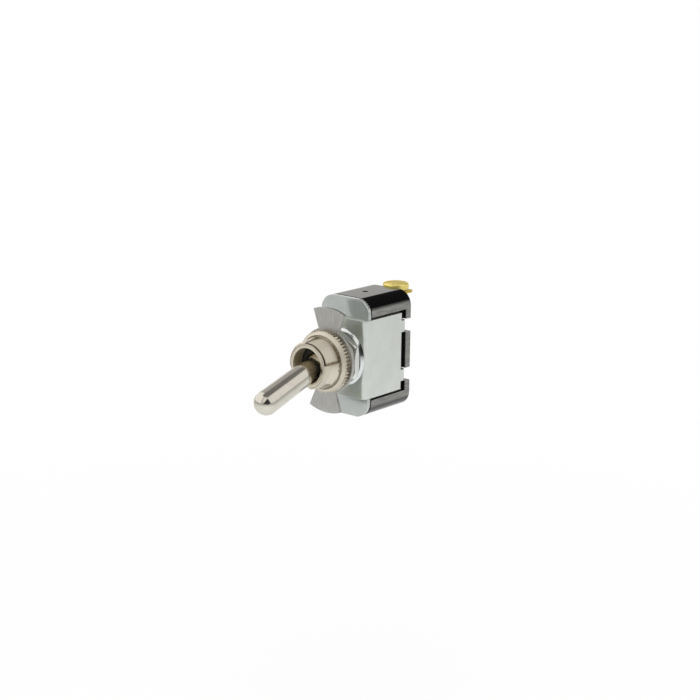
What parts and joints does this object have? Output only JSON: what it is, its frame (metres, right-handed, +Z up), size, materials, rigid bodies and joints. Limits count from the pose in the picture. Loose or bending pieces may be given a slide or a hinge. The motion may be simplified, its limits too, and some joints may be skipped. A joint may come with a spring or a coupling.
{
  "type": "panel toggle switch",
  "caption": "Heavy panel toggle switch with a bat lever, threaded stem with knurled face nut, indicator plate, folded bracket, black moulded base and screw terminals.",
  "frame": {"origin": "on the stem's axis, in the front face of the back nut, where the rear of the panel rests", "axes": "-Y along the stem out of the panel, towards the lever; +Z up, the side of the upper terminal; +X to the right of someone who looks at the lever from the front"},
  "size_m": [0.018, 0.0604, 0.034],
  "materials": {
    "moulding": "glossy black moulding",
    "fibre": "dark vulcanised fibre",
    "zinc_plate": "bright zinc plate",
    "zinc_sheet": "bright zinc plate, faint rolling lines",
    "nickel_stem": "nickel plated brass",
    "zinc_washer": "bright zinc plate",
    "zinc_nut": "bright zinc plate",
    "satin_aluminium": "satin, turned rings",
    "nickel_nut": "nickel plated brass",
    "nickel_lever": "polished nickel plate",
    "steel_pin": "plain steel",
    "rubber_seal": "black rubber",
    "nylon": "natural nylon",
    "spring_steel": "bright spring wire",
    "copper_arm": "phosphor bronze",
    "silver": "silver contact",
    "brass_strip": "bright brass strip",
    "brass_screw": "bright brass"
  },
  "bodies": {
    "body": {"base": "moulding", "insulating_liner": "fibre", "cover_plate": "zinc_plate", "bracket": "zinc_sheet", "stem": "nickel_stem", "lock_washer": "zinc_washer", "back_nut": "zinc_nut", "indicator_plate": "satin_aluminium", "face_nut": "nickel_nut", "pivot_pin": "steel_pin", "dust_seal": "rubber_seal", "fixed_contact": "silver", "upper_terminal": "brass_strip", "centre_terminal": "brass_strip", "upper_screw": "brass_screw", "centre_screw": "brass_screw"},
    "lever": {"lever": "nickel_lever", "plunger_spring": "spring_steel"},
    "plunger": {"plunger": "nylon"},
    "arm": {"contact_arm": "copper_arm", "moving_contact": "silver"}
  },
  "joints": [
    {"name": "lever_toggle", "type": "hinge", "parent": "body", "child": "lever", "pos_m": [0, -0.0063, 0], "axis": [-1, 0, 0], "range_deg": [0, 36]},
    {"name": "plunger_slide", "type": "slide", "parent": "lever", "child": "plunger", "axis": [0, -0.9511, -0.309], "range_m": [0, 0.0006], "stiffness_N_per_m": 250, "springref_m": -0.002, "deforming": ["plunger_spring"]},
    {"name": "arm_rock", "type": "hinge", "parent": "body", "child": "arm", "pos_m": [0, 0.01655, 0], "axis": [1, 0, 0], "range_deg": [0, 18]}
  ],
  "couplings": [
    {"joint": "arm_rock", "follows": "lever_toggle", "ratio": 0.5}
  ]
}
